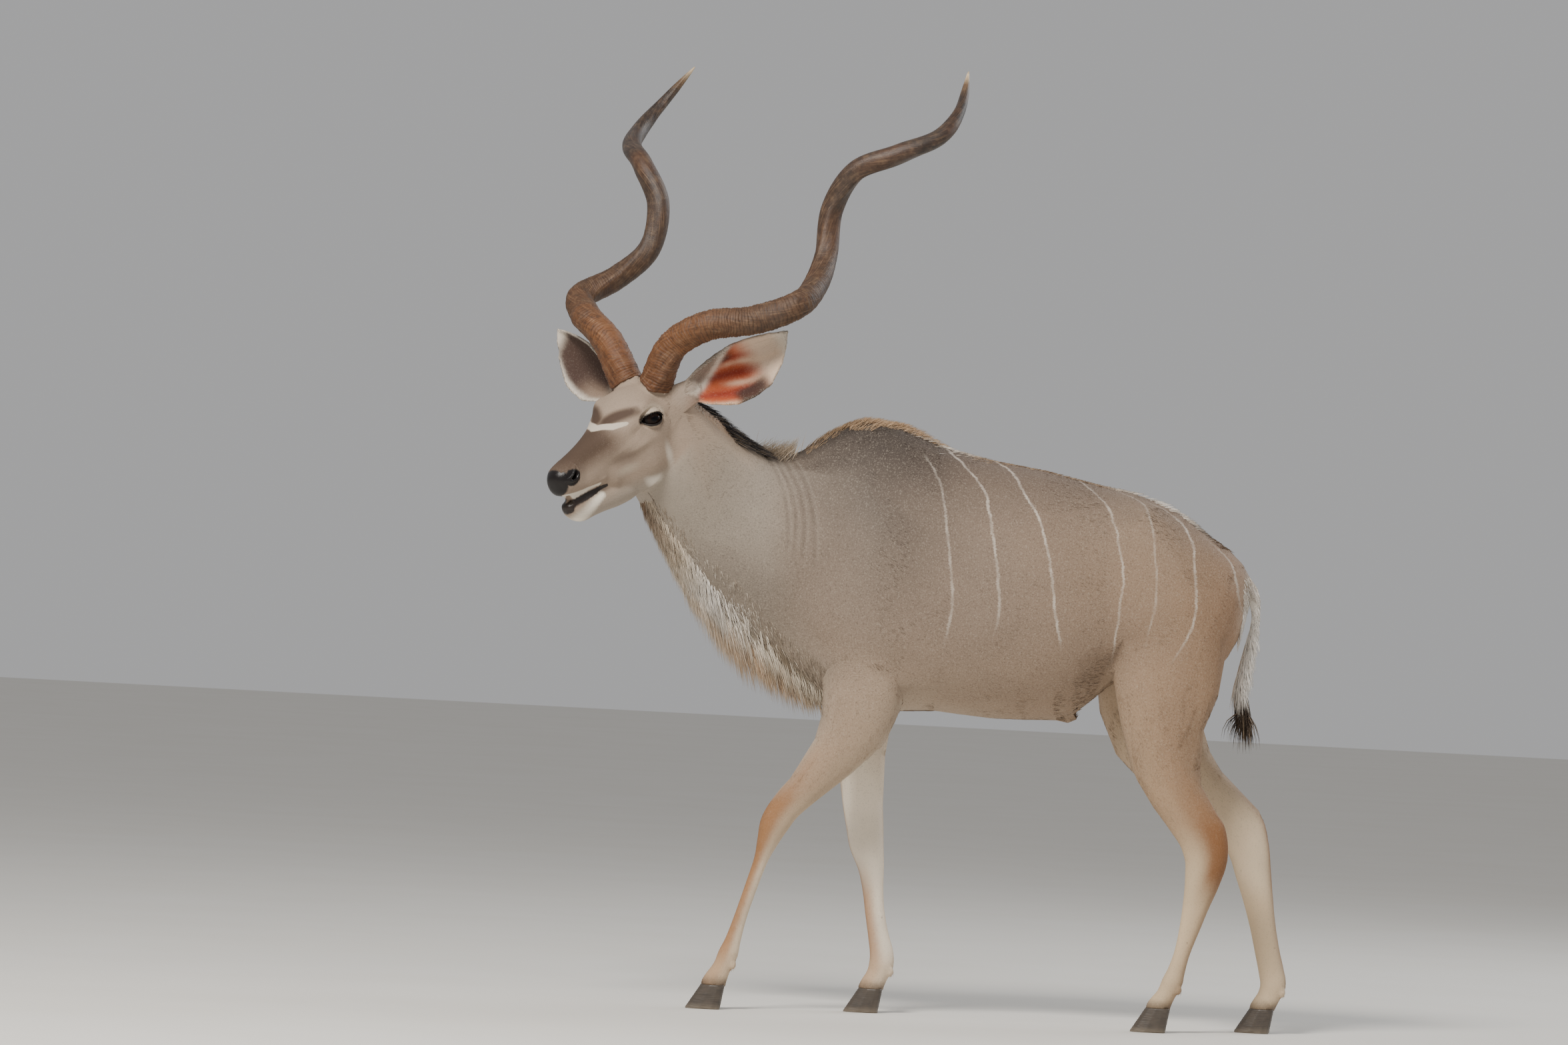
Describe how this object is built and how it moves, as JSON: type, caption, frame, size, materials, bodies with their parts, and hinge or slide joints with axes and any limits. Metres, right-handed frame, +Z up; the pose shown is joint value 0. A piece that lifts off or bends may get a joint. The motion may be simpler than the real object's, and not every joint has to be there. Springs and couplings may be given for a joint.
{
  "type": "greater kudu bull",
  "caption": "Life-size still model of a standing greater kudu bull with spiral horns, throat fringe and turned head, for display on a floor.",
  "frame": {"origin": "centre of the bounding box on the floor under the hooves", "axes": "+Z up; the bull faces -X with its head turned toward -Y; -Y is its left side"},
  "size_m": [1.8774, 1.0241, 2.3215],
  "materials": {
    "coat": "short hair, matt",
    "tail_hair": "long hair, matt",
    "ear": "short hair, matt",
    "horn": "ringed, satin",
    "hoof": "satin",
    "eye": "wet gloss"
  },
  "bodies": {
    "root": {"torso": "coat", "neck": "coat", "head": "coat", "tail": "tail_hair", "foreleg_left": "coat", "foreleg_right": "coat", "hindleg_left": "coat", "hindleg_right": "coat", "eye_left": "eye", "eye_right": "eye", "horn_left": "horn", "horn_right": "horn", "ear_left": "ear", "ear_right": "ear", "hoof_fore_left_inner": "hoof", "hoof_fore_left_outer": "hoof", "hoof_fore_right_inner": "hoof", "hoof_fore_right_outer": "hoof", "hoof_hind_left_inner": "hoof", "hoof_hind_left_outer": "hoof", "hoof_hind_right_inner": "hoof", "hoof_hind_right_outer": "hoof"}
  },
  "joints": []
}
